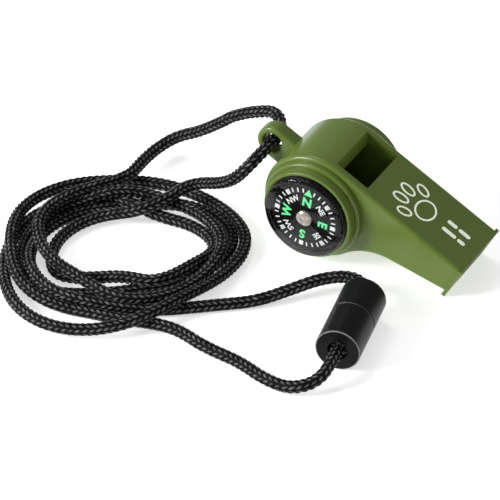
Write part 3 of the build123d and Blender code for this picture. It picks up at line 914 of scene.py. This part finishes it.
def braid(name, line, radius, closed=False):
    """A braided tube: columns of plump stitches that slant left and right in turn."""
    line, length = evenly(line, RING_STEP * MM)
    side, rise = frames_along(line, closed)
    run = np.linspace(0, length / MM, len(line))
    if closed:
        line, side, rise, run = line[:-1], side[:-1], rise[:-1], run[:-1]
    turn = np.arange(AROUND) / AROUND
    column = np.floor(turn * COLUMNS)
    across = turn * COLUMNS - column
    leaning = np.where(column % 2 == 0, 1.0, -1.0)
    climb = SLANT * np.where(leaning > 0, across, 1 - across)
    pitch = STITCH
    if closed:
        pitch = (length / MM) / round(length / MM / STITCH)
    phase = run[:, None] / pitch + climb[None] + 0.5 * (column[None] // 2 % 2)
    stitch = phase - np.floor(phase)
    bulge = np.sin(np.pi * stitch) ** 0.7 * (GROOVE + (1 - GROOVE) * np.sin(np.pi * across[None]) ** 0.8)
    radii = (radius + STITCH_DEPTH * (bulge - MEAN_RELIEF)) * MM
    angle = 2 * np.pi * turn[None]
    out = np.cos(angle)[..., None] * side[:, None] + np.sin(angle)[..., None] * rise[:, None]
    vertices = (line[:, None] + radii[..., None] * out).reshape(-1, 3)
    floor = 0.02 * MM
    vertices[:, 2] = np.maximum(vertices[:, 2], floor)
    rows = len(line)
    faces = []
    for row in range(rows if closed else rows - 1):
        here, after = row * AROUND, (row + 1) % rows * AROUND
        for index in range(AROUND):
            beside = (index + 1) % AROUND
            faces.append((here + index, here + beside, after + beside, after + index))
    if not closed:
        faces.append(tuple(reversed(range(AROUND))))
        faces.append(tuple(range((rows - 1) * AROUND, rows * AROUND)))
    piece = add_piece(name, vertices, faces, MATERIALS["lanyard_cord"], smooth=True)
    # This attribute drives painted light on the cord: 1 on a stitch's crown, painted as a grey highlight,
    # 0 in the grooves, painted as shade.
    crown_shading = piece.data.attributes.new("crown_shading", "FLOAT", "POINT")
    crown = np.sin(np.pi * stitch) ** 0.9 * np.sin(np.pi * across[None]) ** 0.8
    crown_shading.data.foreach_set("value", crown.reshape(-1).astype(np.float32))
    yarn = piece.data.attributes.new("yarn", "FLOAT_VECTOR", "POINT")
    width = stitch * np.ones_like(bulge)
    along = (across * leaning)[None] + column[None] + 2.0 * np.floor(phase)
    depth = np.floor(phase) + column[None] * COLUMN_SEED
    values = np.stack([width, along, depth], -1).reshape(-1)
    yarn.data.foreach_set("vector", values.astype(np.float32))
    return piece


KNOT_SIZE = (2.3, 2.3, 1.7)
KNOT_CORD = 1.3              # radius of the cord, pulled thin in the knot


def knot(name, replaced, body):
    """A trefoil of the same braid, pulled into a ball, where a cord's end is tied off."""
    low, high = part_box(replaced)
    middle = np.array((low + high) / 2)
    loop = []
    steps = 120
    for index in range(steps + 1):
        t = 2 * math.pi * index / steps
        x = (math.sin(t) + 2 * math.sin(2 * t)) / 3
        y = (math.cos(t) - 2 * math.cos(2 * t)) / 3
        z = -math.sin(3 * t)
        loop.append((x, y, z))
    loop = np.array(loop)
    local = loop * np.array(KNOT_SIZE) * MM
    forward = np.array(CONNECTOR_AXIS)
    level = np.array((forward[1], -forward[0], 0.0))
    upright = np.array((0.0, 0.0, 1.0))
    line = middle + local[:, :1] * level + local[:, 1:2] * upright + local[:, 2:] * forward
    piece = braid(name, line, KNOT_CORD, closed=True)
    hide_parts(replaced)
    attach(piece, body)
    return piece


def lanyard():
    """The cord's two halves, one from each side of the lug, with their knots."""
    far_points, near_points = control_points()
    socket_knot = knot("socket_knot_braid", "socket_knot", "whistle")
    plug_knot = knot("plug_knot_braid", "plug_knot", "lanyard_plug")
    halves = (
        ("lanyard_far_half", far_points, ("lanyard_far_strand", "lanyard_plug_tail"),
         [plug_knot, "breakaway_plug", "snap_insert"]),
        ("lanyard_near_half", near_points, ("lanyard_near_strand", "lanyard_socket_tail"),
         [socket_knot, "breakaway_socket"]),
    )
    made = []
    for name, points, nodes, others in halves:
        line = nurbs_line(points)
        piece = braid(name, line, CORD / 2)
        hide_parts(*nodes, "lanyard_coil")
        made.append(piece)
    far_half, near_half = made
    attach(near_half, "whistle")
    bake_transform(far_half)


# ---- studio ------------------------------------------------------------------
VIEW_AZIMUTH, VIEW_ELEVATION = 28.74, 35.58    # degrees
VIEW_DISTANCE = 1.25
AIM_LEFT, AIM_DOWN = 21.99, 16.64              # mm from the barrel's middle to the view's
LAMPS_FACE = Vector((-0.03, -0.02, 0.01))      # about the middle of the whistle and its coil


def camera():
    """Long lens from the compass side, above and to the right of the whistle."""
    azimuth, elevation = math.radians(VIEW_AZIMUTH), math.radians(VIEW_ELEVATION)
    back = Vector(
        (
            math.sin(azimuth) * math.cos(elevation),
            -math.cos(azimuth) * math.cos(elevation),
            math.sin(elevation),
        )
    )
    right = Vector((math.cos(azimuth), math.sin(azimuth), 0))
    up = back.cross(right)
    aim = AXIS - right * AIM_LEFT * MM - up * AIM_DOWN * MM
    data = bpy.data.cameras.new("camera")
    data.lens = 342.0
    data.sensor_width = 36.0
    data.clip_start = 0.05
    data.clip_end = 20.0
    seen = bpy.data.objects.new("camera", data)
    bpy.context.scene.collection.objects.link(seen)
    seen.matrix_world = (
        Matrix.Translation(aim + back * VIEW_DISTANCE) @ Matrix((right, up, back)).transposed().to_4x4()
    )
    bpy.context.scene.camera = seen


def lamp(name, towards, distance, size, power):
    """A soft square lamp that faces the middle of the scene."""
    data = bpy.data.lights.new(name, "AREA")
    data.size = size
    data.energy = power
    placed = bpy.data.objects.new(name, data)
    bpy.context.scene.collection.objects.link(placed)
    direction = Vector(towards).normalized()
    placed.location = LAMPS_FACE + direction * distance
    placed.rotation_euler = direction.to_track_quat("Z", "Y").to_euler()


def studio():
    """Pale floor, white surroundings and two soft lamps."""
    n = Nodes("pale_floor")
    tone = n.ramp(n.noise(6.0, 2.0), [(0.3, (0.93, 0.93, 0.93)), (0.7, (0.95, 0.95, 0.95))])
    n.link(tone, n.shader.inputs["Base Color"])
    n.set(Roughness=0.9, Emission_Color=(1, 1, 1, 1), Emission_Strength=0.58)
    half = 3.0
    corners = [(-half, -half, 0), (half, -half, 0), (half, half, 0), (-half, half, 0)]
    floor = add_piece("floor", corners, [(0, 1, 2, 3)], n.material)
    world = bpy.data.worlds.new("world")
    world.use_nodes = True
    world.node_tree.nodes["Background"].inputs["Color"].default_value = (1, 1, 1, 1)
    world.node_tree.nodes["Background"].inputs["Strength"].default_value = 0.33
    bpy.context.scene.world = world
    lamp("key", (-0.66, -0.66, 0.45), 0.9, 0.34, 7.6)
    lamp("top", (-0.45, 0.35, 0.85), 1.0, 0.35, 1.7)
    bpy.context.scene.view_settings.view_transform = "Standard"


lanyard()
paw_print()
compass_print()
compass_lens()
thermometer_print()
camera()
studio()
